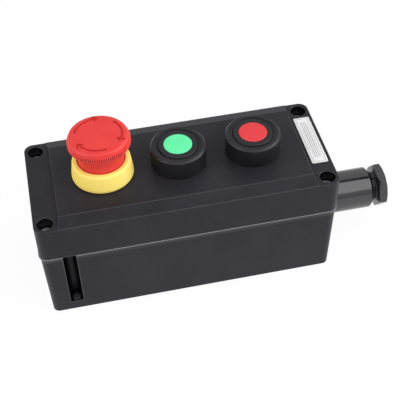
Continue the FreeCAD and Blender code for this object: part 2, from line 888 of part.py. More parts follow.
def make_gland_lock_nut():
    low = cavity_x - gland_lock_height
    nut = hexagon(gland_lock_width, low, cavity_x).cut(rod(spigot_radius + fit_clearance, low, cavity_x))
    return on_gland_axis(nut)


def make_gland_seal_bush():
    return on_gland_axis(ring(bush_radius, bush_bore, bush_seat_x, bush_seat_x + bush_length))


def make_gland_thrust_washer():
    return on_gland_axis(ring(thrust_washer_radius, nut_bore, washer_x, nut_x))


def make_gland_nut():
    """Hollow screw with a hexagon whose corners are chamfered round at both ends."""
    hex_x = nut_x + nut_shank_length
    end = hex_x + nut_hex_length
    corner = nut_hex_width / 2 / math.cos(math.pi / 6)
    face_radius = corner - 2 * nut_chamfer
    rounded = [(0, hex_x), (face_radius, hex_x), (corner, hex_x + nut_chamfer)]
    rounded += [(corner, end - nut_chamfer), (face_radius, end), (0, end)]
    head = hexagon(nut_hex_width, hex_x, end).common(turned(rounded))
    head = head.rotated(Vector(0, 0, 0), Vector(0, 0, 1), 90 + nut_hex_turn)
    nut = head.fuse(rod(nut_shank_radius, nut_x, hex_x)).cut(rod(nut_bore, nut_x, end))
    return on_gland_axis(nut)


pieces = {
    "base_box": make_base_box(),
    "cover": make_cover(),
    "cover_gasket": make_cover_gasket(),
    "cover_screws": make_cover_screws(),
    "cover_screw_washers": make_cover_screw_washers(),
    "threaded_inserts": make_threaded_inserts(),
    "nameplate": make_nameplate(),
    "mounting_rail": make_mounting_rail(),
    "rail_screws": make_rail_screws(),
    "contact_block_lids": make_contact_block_lids(),
    "terminal_screws": make_terminal_screws(),
    "earth_terminal": make_earth_terminal(),
    "earth_screw": make_earth_screw(),
    "gland_body": make_gland_body(),
    "gland_face_seal": make_gland_face_seal(),
    "gland_lock_nut": make_gland_lock_nut(),
    "gland_seal_bush": make_gland_seal_bush(),
    "gland_thrust_washer": make_gland_thrust_washer(),
    "gland_nut": make_gland_nut(),
}

estop_x = -operator_pitch
pieces["estop_shroud"] = make_estop_shroud(estop_x)
pieces["estop_barrel"] = make_estop_barrel(estop_x)
pieces["estop_spring"] = return_spring(estop_stem_radius, panel_z + spring_flange_low, estop_x)
pieces["estop_stem"] = make_estop_stem(estop_x)
pieces["estop_stem_clip"] = stem_clip(estop_stem_radius, estop_x)
pieces["estop_head"] = make_estop_head(estop_x)
pieces["estop_head_retainer"] = make_estop_head_retainer(estop_x)

for colour, button_x in (("green", 0.0), ("red", operator_pitch)):
    pieces[colour + "_housing"] = make_button_housing(button_x)
    pieces[colour + "_cap"] = make_button_cap(button_x)
    pieces[colour + "_disc"] = make_button_disc(button_x)
    pieces[colour + "_stem"] = make_button_stem(button_x)
    pieces[colour + "_stem_clip"] = stem_clip(button_stem_radius, button_x)
    pieces[colour + "_spring"] = return_spring(button_stem_radius, cap_low_z(), button_x)

# The emergency stop and the red button break their contacts when pressed, the green button makes its own
switches = (("estop", estop_x, True), ("green", 0.0, False), ("red", operator_pitch, True))
for operator, x, closed in switches:
    pieces[operator + "_seal"] = make_operator_seal(x)
    pieces[operator + "_lock_nut"] = make_lock_nut(x)
    pieces[operator + "_contact_block"] = make_contact_block(x)
    pieces[operator + "_fixed_contacts"] = make_fixed_contacts(x, closed)
    pieces[operator + "_contact_plunger"] = make_contact_plunger(x, closed)
    pieces[operator + "_contact_bridge"] = make_contact_bridge(x, closed)
    pieces[operator + "_contact_spring"] = make_contact_spring(x, closed)

os.makedirs("parts", exist_ok=True)
for node, piece in pieces.items():
    piece.exportStep("parts/" + node + ".step")
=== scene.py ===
import math

import bmesh
import bpy
from mathutils import Matrix, Vector


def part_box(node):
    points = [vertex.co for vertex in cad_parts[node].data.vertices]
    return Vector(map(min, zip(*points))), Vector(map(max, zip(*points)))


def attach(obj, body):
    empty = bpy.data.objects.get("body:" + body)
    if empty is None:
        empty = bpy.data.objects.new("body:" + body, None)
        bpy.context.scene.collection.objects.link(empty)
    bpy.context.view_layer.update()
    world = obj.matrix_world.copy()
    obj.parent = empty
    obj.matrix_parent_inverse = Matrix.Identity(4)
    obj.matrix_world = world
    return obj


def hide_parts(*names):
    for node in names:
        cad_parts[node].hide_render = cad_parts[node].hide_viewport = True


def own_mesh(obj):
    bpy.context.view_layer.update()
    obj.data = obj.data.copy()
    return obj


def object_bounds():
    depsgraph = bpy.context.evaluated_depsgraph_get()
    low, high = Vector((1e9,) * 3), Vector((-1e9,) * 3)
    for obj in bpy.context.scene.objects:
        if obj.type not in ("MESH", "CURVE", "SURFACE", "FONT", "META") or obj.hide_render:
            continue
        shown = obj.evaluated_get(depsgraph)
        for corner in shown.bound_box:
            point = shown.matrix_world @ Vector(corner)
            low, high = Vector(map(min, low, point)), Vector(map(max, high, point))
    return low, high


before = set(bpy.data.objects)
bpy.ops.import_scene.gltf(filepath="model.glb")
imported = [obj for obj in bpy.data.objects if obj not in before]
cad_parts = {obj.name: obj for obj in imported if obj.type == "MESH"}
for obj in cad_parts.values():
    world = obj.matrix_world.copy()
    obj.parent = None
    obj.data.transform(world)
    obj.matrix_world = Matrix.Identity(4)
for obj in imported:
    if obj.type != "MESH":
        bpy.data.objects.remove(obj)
cad_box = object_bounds()

# Base box: the deep drafted tray that hangs on the wall, moulded in one shot of black
# glass-filled polyester. Spark grain dulls its walls, and the flared rim round its mouth,
# where the mould closes, is left smooth.
MM = 0.001
BODY_DEEP = (0.0138, 0.0132, 0.0175, 1)
BODY_PALE = (0.0218, 0.0210, 0.0270, 1)
BODY_ROUGH = 0.4
BODY_GRAIN = 0.5
BODY_GLOSS = 0.17
CLOUD_SCALE = 40.0
FLECK_SCALE = 2200.0
GRAIN_DEPTH = 0.02 * MM
MOULDED_EDGE = 0.45 * MM
WORN_EDGE = 0.6 * MM
SMOOTH_RIM_ROUGH = 0.12
RIM_CHAMFER = 0.6 * MM
# Pale of the outer edges: rub wear and a painted highlight.
EDGE_WEAR_AND_HIGHLIGHT = (0.120, 0.118, 0.130, 1)
# Colour of the highlight painted along the rim.
RIM_HIGHLIGHT_PALE = (0.160, 0.158, 0.170, 1)
CHANNEL_X = 77.8 * MM
CHANNEL_RADIUS = 4.2 * MM
CHANNEL_FLOOR = 8.2 * MM
# Black painted as shade, in the mounting channels and in the screw wells.
SHADE_BLACK = (0.0015, 0.0014, 0.0020, 1)


class Wire:
    """A socket of a node tree: sums on it add Math nodes, and node() adds any other node."""

    def __init__(self, tree, socket=None):
        self.tree = tree
        self.socket = socket

    def node(self, kind, settings=None, inputs=None, output=0):
        """Adds a node, with its settings first and then the values or links of its sockets."""
        made = self.tree.nodes.new(kind)
        for name, value in (settings or {}).items():
            setattr(made, name, value)
        for name, value in (inputs or {}).items():
            if isinstance(value, Wire):
                self.tree.links.new(value.socket, made.inputs[name])
            else:
                made.inputs[name].default_value = value
        return Wire(self.tree, made.outputs[output] if made.outputs else None)

    def twin(self, output):
        """Another output of the node that this socket belongs to."""
        return Wire(self.tree, self.socket.node.outputs[output])

    def axis(self, name):
        """One axis of a vector."""
        return self.node("ShaderNodeSeparateXYZ", {}, {"Vector": self}, name)

    def sum(self, operation, first, second):
        """A Math node on two wires or numbers."""
        return self.node("ShaderNodeMath", {"operation": operation}, {0: first, 1: second})

    def __add__(self, other):
        return self.sum("ADD", self, other)

    def __sub__(self, other):
        return self.sum("SUBTRACT", self, other)

    def __rsub__(self, other):
        return self.sum("SUBTRACT", other, self)

    def __mul__(self, other):
        return self.sum("MULTIPLY", self, other)

    def __truediv__(self, other):
        return self.sum("DIVIDE", self, other)

    def __rtruediv__(self, other):
        return self.sum("DIVIDE", other, self)

    def __abs__(self):
        return self.sum("ABSOLUTE", self, 0.0)

    __radd__ = __add__
    __rmul__ = __mul__

    def ramp(self, low, high, shape="SMOOTHSTEP"):
        """From 0 at low to 1 at high."""
        ends = {"Value": self, "From Min": low, "From Max": high}
        return self.node("ShaderNodeMapRange", {"interpolation_type": shape}, ends)

    def tint(self, first, second):
        """From the first colour to the second as this value goes from 0 to 1."""
        colours = {0: self, 6: first, 7: second}
        return self.node("ShaderNodeMix", {"data_type": "RGBA"}, colours, 2)


def blank_material(name):
    """An empty material, and a wire to build it from."""
    finish = bpy.data.materials.new(name)
    finish.use_nodes = True
    finish.node_tree.nodes.clear()
    return finish, Wire(finish.node_tree)


def close(wire, skin):
    """Ends a material in one shader, with what changes over the surface and its constants."""
    shader = wire.node("ShaderNodeBsdfPrincipled", {}, skin)
    wire.node("ShaderNodeOutputMaterial", {}, {"Surface": shader})


def dress(finish, *names):
    """Gives nodes of the frame their finish."""
    for name in names:
        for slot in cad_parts[name].material_slots:
            slot.material = finish


def place_of(wire):
    """Where a point lies on its piece, which is also its place in the frame at rest."""
    return wire.node("ShaderNodeTexCoord", {}, {}, "Object")


def rounded(wire, radius):
    """The normal with edges rounded off, and how far it turns from the flat one there."""
    eased = wire.node("ShaderNodeBevel", {"samples": 6}, {"Radius": radius})
    pair = {0: eased, 1: wire.node("ShaderNodeNewGeometry", {}, {}, "Normal")}
    return eased, 1 - wire.node("ShaderNodeVectorMath", {"operation": "DOT_PRODUCT"}, pair, "Value")


def plastic(wire, deep, pale, rough, grain, gloss=0.5):
    """Skin of a moulding: slow clouds between two tones, spark grain, and edges made pale by painted
    sheen and smoother by rub wear.
    """
    place = place_of(wire)
    clouds = wire.node("ShaderNodeTexNoise", {}, {"Vector": place, "Scale": CLOUD_SCALE, "Detail": 4.0})
    flecks = wire.node("ShaderNodeTexNoise", {}, {"Vector": place, "Scale": FLECK_SCALE, "Detail": 1.0})
    eased, turned_away = rounded(wire, MOULDED_EDGE)
    # The pale colour at the edges is painted sheen; the lower roughness there is rub wear.
    sheen_and_wear = turned_away.ramp(0.01, 0.25)
    tone = (0.7 * clouds + 0.3 * flecks).ramp(0.3, 0.7)
    relief = {"Strength": grain, "Distance": GRAIN_DEPTH, "Height": flecks, "Normal": eased}
    return {
        "Base Color": (tone + sheen_and_wear - tone * sheen_and_wear).tint(deep, pale),
        "Roughness": rough + 0.12 * (clouds - 0.5) - 0.18 * sheen_and_wear,
        "Normal": wire.node("ShaderNodeBump", {}, relief),
        "Specular IOR Level": gloss,
    }


def moulded(name, deep, pale, rough, grain=0.5, gloss=0.5):
    """A plain moulding's material."""
    finish, wire = blank_material(name)
    close(wire, plastic(wire, deep, pale, rough, grain, gloss))
    return finish


def wear_and_highlight_edges(wire, skin, pale, share=1.0):
    """Paints the sharp outer edges of a moulding pale, in a thin band, as rub wear and a painted
    highlight, where share is 1.
    """
    look = {"samples": 8, "inside": True, "only_local": True}
    free = wire.node("ShaderNodeAmbientOcclusion", look, {"Distance": WORN_EDGE}, "AO")
    skin["Base Color"] = (share * (1 - free).ramp(0.08, 0.38)).tint(skin["Base Color"], pale)


def rimmed_polyester():
    """Black polyester, smooth at the rim with a painted highlight in a pale band there, and painted
    shade black in the mounting channels.
    """
    finish, wire = blank_material("black polyester with a smooth rim")
    skin = plastic(wire, BODY_DEEP, BODY_PALE, BODY_ROUGH, BODY_GRAIN, BODY_GLOSS)
    rim_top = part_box("base_box")[1].z
    height = place_of(wire).axis("Z")
    side = height.twin("Y")
    smooth_rim = height.ramp(rim_top - 1.6 * RIM_CHAMFER, rim_top - 1.1 * RIM_CHAMFER)
    # A pale band painted along the rim chamfer as a highlight.
    rim_highlight = height.ramp(rim_top - 0.95 * RIM_CHAMFER, rim_top - 0.75 * RIM_CHAMFER)
    apart = abs(height.twin("X") * side.sum("SIGN", side, 0.0) - CHANNEL_X)
    shaded_channel = 1 - apart.ramp(CHANNEL_RADIUS, 1.01 * CHANNEL_RADIUS)
    above_floor = height.ramp(0.94 * CHANNEL_FLOOR, 0.98 * CHANNEL_FLOOR)
    # Outer edges painted pale as rub wear and a painted highlight, but not down in the channels.
    wear_and_highlight_edges(wire, skin, EDGE_WEAR_AND_HIGHLIGHT, wire.sum("MAXIMUM", 1 - shaded_channel, above_floor))
    # The channel walls above the channel floor are painted black as shade.
    shaded_channel = shaded_channel * height.ramp(0.99 * CHANNEL_FLOOR, CHANNEL_FLOOR)
    skin["Base Color"] = rim_highlight.tint(shaded_channel.tint(skin["Base Color"], SHADE_BLACK), RIM_HIGHLIGHT_PALE)
    skin["Roughness"] = skin["Roughness"] * (1 - smooth_rim) + SMOOTH_RIM_ROUGH * smooth_rim
    close(wire, skin)
    return finish


dress(rimmed_polyester(), "base_box")

# Threaded inserts: knurled brass bushes, pressed hot into the four corner posts of the base
# box, so that the cover screws can be undone many times.
BRASS_DEEP = (0.42, 0.26, 0.08, 1)
BRASS_PALE = (0.72, 0.52, 0.22, 1)
DRIFT_SCALE = 160.0
MARK_SCALE = 700.0
MARK_SQUEEZE = 12.0
MARK_DEPTH = 0.01 * MM
TURNED_EDGE = 0.15 * MM


def metal(name, deep, pale, rough, metallic=1.0):
    """Turned or plated metal: tone and polish drift slowly, with fine tool marks across."""
    finish, wire = blank_material(name)
    place = place_of(wire)
    across = wire.node("ShaderNodeMapping", {}, {"Vector": place, "Scale": (1.0, 1.0, MARK_SQUEEZE)})
    drift = wire.node("ShaderNodeTexNoise", {}, {"Vector": place, "Scale": DRIFT_SCALE, "Detail": 3.0})
    marks = wire.node("ShaderNodeTexNoise", {}, {"Vector": across, "Scale": MARK_SCALE, "Detail": 2.0})
    eased = wire.node("ShaderNodeBevel", {"samples": 4}, {"Radius": TURNED_EDGE})
    relief = {"Strength": 0.35, "Distance": MARK_DEPTH, "Height": marks, "Normal": eased}
    close(wire, {
        "Base Color": (0.6 * drift + 0.4 * marks).ramp(0.3, 0.7).tint(deep, pale),
        "Metallic": metallic,
        "Roughness": rough + 0.2 * (drift - 0.5) + 0.1 * (marks - 0.5),
        "Normal": wire.node("ShaderNodeBump", {}, relief),
    })
    return finish


brass = metal("turned brass", BRASS_DEEP, BRASS_PALE, rough=0.3)
dress(brass, "threaded_inserts")

# Mounting rail: cold-rolled steel strip with folded hooks, zinc plated and screwed to the
# floor of the base box by two slotted cheese-head screws.
ZINC_DEEP = (0.42, 0.44, 0.46, 1)
ZINC_PALE = (0.66, 0.68, 0.70, 1)
zinc = metal("zinc plated steel", ZINC_DEEP, ZINC_PALE, rough=0.38)
dress(zinc, "mounting_rail", "rail_screws")

# Contact blocks: one switch under each operator, clipped to the rail. A grey case and lid hold
# brass contacts and a bridge that a pale plunger pushes off or on; a steel coil lifts it back.
CASE_DEEP = (0.05, 0.052, 0.055, 1)
CASE_PALE = (0.085, 0.088, 0.092, 1)
PLUNGER_DEEP = (0.55, 0.54, 0.50, 1)
PLUNGER_PALE = (0.70, 0.69, 0.65, 1)
STEEL_DEEP = (0.50, 0.51, 0.52, 1)
STEEL_PALE = (0.74, 0.75, 0.76, 1)
CONTACT_WIRE = 0.4 * MM
CONTACT_TURNS = 4.5
COIL_STEPS = 28
WIRE_SIDES = 12
SHARP_TURN = math.radians(35)
CONTACT_TRAVEL = {"estop": 6 * MM, "green": 4 * MM, "red": 4 * MM}


def node_tree(name, inputs):
    """A Geometry Nodes tree with named inputs, and a wire from each of them."""
    tree = bpy.data.node_groups.new(name, "GeometryNodeTree")
    for label, kind in inputs.items():
        tree.interface.new_socket(label, in_out="INPUT", socket_type=kind)
    tree.interface.new_socket("Geometry", in_out="OUTPUT", socket_type="NodeSocketGeometry")
    entry = tree.nodes.new("NodeGroupInput")
    return tree, {label: Wire(tree, entry.outputs[label]) for label in inputs}


def end_tree(shape, finish):
    """Closes a tree: real meshes in one finish."""
    real = shape.node("GeometryNodeRealizeInstances", {}, {"Geometry": shape})
    done = shape.node("GeometryNodeSetMaterial", {}, {"Geometry": real, "Material": finish})
    shape.node("NodeGroupOutput", {}, {"Geometry": done})


def placed(name, mesh):
    """An object for a mesh, at the origin."""
    piece = bpy.data.objects.new(name, mesh)
    bpy.context.scene.collection.objects.link(piece)
    return piece


def shade(mesh):
    """Smooth faces, but for the edges that turn sharply."""
    mesh.shade_smooth()
    mesh.set_sharp_from_angle(angle=SHARP_TURN)


def made_plain(piece):
    """Turns a piece with live modifiers into a plain mesh."""
    evaluated = piece.evaluated_get(bpy.context.evaluated_depsgraph_get())
    mesh = bpy.data.meshes.new_from_object(evaluated)
    piece.modifiers.clear()
    piece.data = mesh
    shade(mesh)


def grown(name, tree, sizes, place):
    """A piece that a tree makes from these sizes, moved to its place."""
    piece = placed(name, bpy.data.meshes.new(name))
    growth = piece.modifiers.new(name, "NODES")
    growth.node_group = tree
    for item in tree.interface.items_tree:
        if item.in_out == "INPUT":
            growth[item.identifier] = sizes[item.name]
    made_plain(piece)
    piece.data.transform(place)
    return piece


def coil_tree():
    """A compression spring on the origin; its closed end turns rise by one thickness of wire each."""
    number = "NodeSocketFloat"
    tree, size = node_tree("coil spring", {
        "Mean radius": number,
        "Wire radius": number,
        "Height": number,
        "Turns": number,
        "Finish": "NodeSocketMaterial",
    })
    turns = size["Turns"]
    wire_radius = size["Wire radius"]
    radii = {"Start Radius": size["Mean radius"], "End Radius": size["Mean radius"]}
    path = turns.node("GeometryNodeCurveSpiral", {}, {
        "Resolution": COIL_STEPS, "Rotations": turns, "Height": 0.0, **radii,
    })
    along = turns.node("GeometryNodeSplineParameter")
    closed = 1 / turns
    ends = along.ramp(0.0, closed, "LINEAR") + along.ramp(1 - closed, 1.0, "LINEAR")
    free = along.ramp(closed, 1 - closed, "LINEAR")
    rise = wire_radius + 2 * wire_radius * ends + (size["Height"] - 6 * wire_radius) * free
    spot = turns.node("GeometryNodeInputPosition")
    across = spot.axis("X")
    lifted = turns.node("ShaderNodeCombineXYZ", {}, {"X": across, "Y": across.twin("Y"), "Z": rise})
    path = turns.node("GeometryNodeSetPosition", {}, {"Geometry": path, "Position": lifted})
    section = turns.node("GeometryNodeCurvePrimitiveCircle", {}, {
        "Resolution": WIRE_SIDES, "Radius": wire_radius,
    })
    coil = turns.node("GeometryNodeCurveToMesh", {}, {
        "Curve": path, "Profile Curve": section, "Fill Caps": True,
    })
    end_tree(coil, size["Finish"])
    return tree


coil_spring = coil_tree()


def spring_for(node, wire_radius, turns, joint):
    """A wound spring in the place of a node; the joint is not used."""
    low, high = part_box(node)
    seat = Vector(((low.x + high.x) / 2, 0, low.z))
    height = high.z - low.z
    piece = grown(node + "_coil", coil_spring, {
        "Mean radius": (high.x - low.x) / 2 - wire_radius,
        "Wire radius": wire_radius,
        "Height": height,
        "Turns": turns,
        "Finish": spring_steel,
    }, Matrix.Translation(seat))
    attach(piece, "enclosure")
    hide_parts(node)
    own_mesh(piece)


spring_steel = metal("spring steel", STEEL_DEEP, STEEL_PALE, rough=0.25)
case_plastic = moulded("grey switch case", CASE_DEEP, CASE_PALE, rough=0.5)
plunger_plastic = moulded("pale plunger plastic", PLUNGER_DEEP, PLUNGER_PALE, rough=0.42)
dress(case_plastic, "contact_block_lids")
dress(zinc, "terminal_screws")
for operator, travel in CONTACT_TRAVEL.items():
    dress(case_plastic, operator + "_contact_block")
    dress(plunger_plastic, operator + "_contact_plunger")
    dress(brass, operator + "_contact_bridge", operator + "_fixed_contacts")
    coil = operator + "_contact_spring"
    spring_for(coil, CONTACT_WIRE, CONTACT_TURNS, operator + "_contact_travel")

# Earth terminal: a brass block with a wire hole, on the floor beside the rail, and the plated
# screw that clamps the earth wire in it.
dress(brass, "earth_terminal")
dress(zinc, "earth_screw")

# Cable gland: a smooth moulded nylon body screwed through the end wall, with a rubber face seal
# outside and a hexagon lock nut inside. A rubber bush in it grips the cable once a plated washer
# squeezes it.
NYLON_DEEP = (0.006, 0.0057, 0.0085, 1)
NYLON_PALE = (0.012, 0.0115, 0.0155, 1)
RUBBER_DEEP = (0.008, 0.008, 0.008, 1)
RUBBER_PALE = (0.020, 0.020, 0.021, 1)
nylon = moulded("smooth black nylon", NYLON_DEEP, NYLON_PALE, rough=0.13, grain=0.1, gloss=1.0)
rubber = moulded("seal rubber", RUBBER_DEEP, RUBBER_PALE, rough=0.7, grain=1.0)
dress(nylon, "gland_body", "gland_lock_nut")
dress(rubber, "gland_face_seal", "gland_seal_bush")
dress(zinc, "gland_thrust_washer")

# Gland nut: a hollow nylon screw with a hexagon, whose corners are chamfered round at both ends.
# Its moulded thread shows between the hexagon and the body until the nut is driven home.
HEX_WIDTH = 27.0 * MM
HEX_LENGTH = 5.7 * MM
HEX_TURN = math.radians(97)
HEX_CHAMFER = 0.9 * MM
NUT_BORE = 6.5 * MM
THREAD_PITCH = 2 * MM
THREAD_DEPTH = 1.0 * MM
SHANK_RADIUS = 11 * MM
HEX_STEPS = 120
THREAD_STEPS = 72
THREAD_SIDES = 4
MERGED_WITHIN = 0.001 * MM


def mesh_piece(name, shape, finish):
    """An object from a closed bmesh, merged, facing outwards and in its finish."""
    bmesh.ops.remove_doubles(shape, verts=shape.verts, dist=MERGED_WITHIN)
    bmesh.ops.recalc_face_normals(shape, faces=shape.faces)
    mesh = bpy.data.meshes.new(name)
    shape.to_mesh(mesh)
    shape.free()
    mesh.materials.append(finish)
    shade(mesh)
    return placed(name, mesh)


def skinned(rings, joined):
    """A bmesh over rings of points, each with as many points; joined closes it end to end."""
    shape = bmesh.new()
    rows = [[shape.verts.new(point) for point in ring] for ring in rings]
    pairs = list(zip(rows, rows[1:]))
    if joined:
        pairs.append((rows[-1], rows[0]))
    for first, second in pairs:
        for step in range(len(first)):
            corners = (first[step - 1], first[step], second[step], second[step - 1])
            shape.faces.new(corners)
    return shape


def hexagon_nut(name, start, shank, end, root):
    """A bored hexagon on a plain shank, standing along Z; each ring follows one edge of it."""
    corner = HEX_WIDTH / 2 / math.cos(math.pi / 6)
    bearing = corner - 2 * HEX_CHAMFER
    sides = []
    for step in range(HEX_STEPS):
        turn = 2 * math.pi * step / HEX_STEPS
        reach = HEX_WIDTH / 2 / math.cos(turn % (math.pi / 3) - math.pi / 6)
        face = min(reach, bearing)
        fall = (reach - face) / 2
        edges = [(NUT_BORE, start), (root, start), (root, shank), (face, shank), (reach, shank + fall)]
        edges += [(reach, end - fall), (face, end), (NUT_BORE, end)]
        facing = Vector((math.cos(turn + HEX_TURN), math.sin(turn + HEX_TURN), 0))
        sides.append([radius * facing + Vector((0, 0, height)) for radius, height in edges])
    return mesh_piece(name, skinned(list(zip(*sides)), True), nylon)


def thread_tree():
    """The ridge of a screw thread, wound about Z from the origin up."""
    number = "NodeSocketFloat"
    tree, size = node_tree("screw thread", {
        "Root radius": number,
        "Depth": number,
        "Pitch": number,
        "Length": number,
        "Finish": "NodeSocketMaterial",
    })
    length = size["Length"]
    radii = {"Start Radius": size["Root radius"], "End Radius": size["Root radius"]}
    path = length.node("GeometryNodeCurveSpiral", {}, {
        "Resolution": THREAD_STEPS, "Rotations": length / size["Pitch"], "Height": length, **radii,
    })
    path = length.node("GeometryNodeSetCurveNormal", {"mode": "Z_UP"}, {"Curve": path})
    section = length.node("GeometryNodeCurvePrimitiveCircle", {}, {
        "Resolution": THREAD_SIDES, "Radius": size["Depth"],
    })
    ridge_highlight = length.node("GeometryNodeCurveToMesh", {}, {
        "Curve": path, "Profile Curve": section, "Fill Caps": True,
    })
    end_tree(ridge_highlight, size["Finish"])
    return tree


nut_low, nut_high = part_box("gland_nut")
nut_length = nut_high.x - nut_low.x
shank_length = nut_length - HEX_LENGTH
gland_axis = Vector((nut_low.x, (nut_low.y + nut_high.y) / 2, (nut_low.z + nut_high.z) / 2))
along_gland = Matrix.Translation(gland_axis) @ Matrix.Rotation(math.pi / 2, 4, "Y")
thread_root = SHANK_RADIUS - THREAD_DEPTH
gland_hexagon = hexagon_nut("gland_nut_hexagon", 0, shank_length, nut_length, thread_root)
gland_hexagon.data.transform(along_gland)
gland_thread = grown("gland_nut_thread", thread_tree(), {
    "Root radius": thread_root,
    "Depth": THREAD_DEPTH,
    "Pitch": THREAD_PITCH,
    "Length": shank_length - 2 * THREAD_DEPTH,
    "Finish": nylon,
}, along_gland @ Matrix.Translation((0, 0, THREAD_DEPTH)))
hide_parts("gland_nut")
for part in (gland_hexagon, gland_thread):
    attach(part, "gland_nut")

# Cover gasket: a cord of soft black rubber, laid in the groove of the base box's rim and pressed
# flat by the cover, so that the box is tight.
dress(rubber, "cover_gasket")

# Cover: the shallow drafted lid of the same polyester, with its raised and bevelled panel, lower
# end strips and a deep screw well in each corner, all formed in one moulding. A highlight is
# painted pale along the two long edges of the panel, and the wells are painted black as shade.
WELL_X = 88.8 * MM
WELL_Y = 32.7 * MM
WELL_RADIUS = 5.0 * MM
WELL_TOP = 78.5 * MM
RIDGE_Y = 31.5 * MM
RIDGE_WIDTH = 0.6 * MM
# Colour of the highlight painted on the panel's long edges.
RIDGE_HIGHLIGHT = (0.045, 0.044, 0.050, 1)
COVER_EDGE_WEAR_AND_HIGHLIGHT = 0.7


def cover_polyester():
    """Black polyester, with a highlight painted pale along the two long edges of the panel and painted
    shade black down in the wells.
    """
    finish, wire = blank_material("black polyester")
    skin = plastic(wire, BODY_DEEP, BODY_PALE, BODY_ROUGH, BODY_GRAIN, BODY_GLOSS)
    # Outer edges painted pale as rub wear and a painted highlight.
    wear_and_highlight_edges(wire, skin, EDGE_WEAR_AND_HIGHLIGHT, COVER_EDGE_WEAR_AND_HIGHLIGHT)
    panel_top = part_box("cover")[1].z
    height = place_of(wire).axis("Z")
    off_middle = abs(height.twin("Y"))
    # A highlight painted along the two long top edges of the panel.
    ridge_highlight = 1 - abs(off_middle - RIDGE_Y).ramp(0.35 * RIDGE_WIDTH, 0.65 * RIDGE_WIDTH)
    ridge_highlight = ridge_highlight * height.ramp(panel_top - RIDGE_WIDTH, panel_top - 0.5 * RIDGE_WIDTH)
    # The screw wells are painted black as shade.
    from_well = {"X": abs(height.twin("X")) - WELL_X, "Y": off_middle - WELL_Y}
    reach = {0: wire.node("ShaderNodeCombineXYZ", {}, from_well)}
    apart = wire.node("ShaderNodeVectorMath", {"operation": "LENGTH"}, reach, "Value")
    shaded_well = 1 - apart.ramp(WELL_RADIUS, 1.02 * WELL_RADIUS)
    shaded_well = shaded_well * (1 - height.ramp(WELL_TOP - RIDGE_WIDTH, WELL_TOP))
    skin["Base Color"] = ridge_highlight.tint(shaded_well.tint(skin["Base Color"], SHADE_BLACK), RIDGE_HIGHLIGHT)
    close(wire, skin)
    return finish


dress(cover_polyester(), "cover")

# Nameplate: a white laminate plate glued on the right end strip, blank but for a printed border
# and ruled lines to write on.
PLATE_WHITE = (0.74, 0.74, 0.74, 1)
PLATE_SHADE = (0.66, 0.66, 0.67, 1)
INK = (0.36, 0.36, 0.37, 1)
BORDER_INSET = 1.1 * MM
BORDER_LINE = 0.3 * MM
RULED_HALF = Vector((2.7, 17.5)) * MM
RULE_STEP = 1.35 * MM
RULE_HALF = 0.15
RULE_BLUR = 0.06
PRINT_BLUR = 0.08 * MM


def band(value, low, high, blur):
    """1 from low to high, with a blur past both."""
    return value.ramp(low - blur, low) * (1 - value.ramp(high, high + blur))


def distance_inside(place, centre, half):
    """How far a point lies inside a rectangle, below zero outside it."""
    reach = []
    for axis, middle, extent in zip("XY", centre, half):
        reach.append(extent - abs(place.axis(axis) - middle))
    return place.sum("MINIMUM", *reach)


def printed_laminate():
    """White laminate with its print; a rule's width and blur are shares of the step between rules."""
    finish, wire = blank_material("white laminate")
    skin = plastic(wire, PLATE_SHADE, PLATE_WHITE, rough=0.35, grain=0.2)
    low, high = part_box("nameplate")
    centre = (low + high) / 2
    place = place_of(wire)
    depth = distance_inside(place, centre, (high - low) / 2)
    border = band(depth, BORDER_INSET, BORDER_INSET + BORDER_LINE, PRINT_BLUR)
    across = (place.axis("X") - centre.x) / RULE_STEP
    rule = band(across.sum("PINGPONG", across, 0.5), 0.0, RULE_HALF, RULE_BLUR)
    ruled = distance_inside(place, centre, RULED_HALF).ramp(0.0, PRINT_BLUR) * rule
    skin["Base Color"] = wire.sum("MAXIMUM", border, ruled).tint(skin["Base Color"], INK)
    close(wire, skin)
    return finish


dress(printed_laminate(), "nameplate")

# Seals and lock nuts: each operator clamps the cover between a flat rubber ring outside and a
# hexagon nut of black plastic inside.
OPERATOR_DEEP = (0.0040, 0.0038, 0.0055, 1)
OPERATOR_PALE = (0.0090, 0.0086, 0.0115, 1)
operator_plastic = moulded(
    "satin black plastic", OPERATOR_DEEP, OPERATOR_PALE, rough=0.46, grain=0.3, gloss=0.35
)
for operator in CONTACT_TRAVEL:
    dress(rubber, operator + "_seal")
    dress(operator_plastic, operator + "_lock_nut")

# Push buttons: a tall collar with a bevelled mouth, a black cap that sinks into it on a return
# spring, and a coloured disc let into the cap. A clip under the barrel keeps the stem in.
GREEN_DEEP = (0.095, 0.73, 0.32, 1)
GREEN_PALE = (0.12, 0.85, 0.38, 1)
DISC_RED_DEEP = (0.62, 0.023, 0.031, 1)
DISC_RED_PALE = (0.70, 0.037, 0.045, 1)
RETURN_WIRE = 0.5 * MM
RETURN_TURNS = 5.5
disc_colours = {
    "green": moulded("green disc", GREEN_DEEP, GREEN_PALE, rough=0.4, grain=0.15),
    "red": moulded("red disc", DISC_RED_DEEP, DISC_RED_PALE, rough=0.4, grain=0.15),
}
for colour, disc in disc_colours.items():
    dress(operator_plastic, colour + "_housing", colour + "_cap")
    dress(disc, colour + "_disc")
    dress(plunger_plastic, colour + "_stem")
    dress(spring_steel, colour + "_stem_clip")
    spring_for(colour + "_spring", RETURN_WIRE, RETURN_TURNS, colour + "_press")

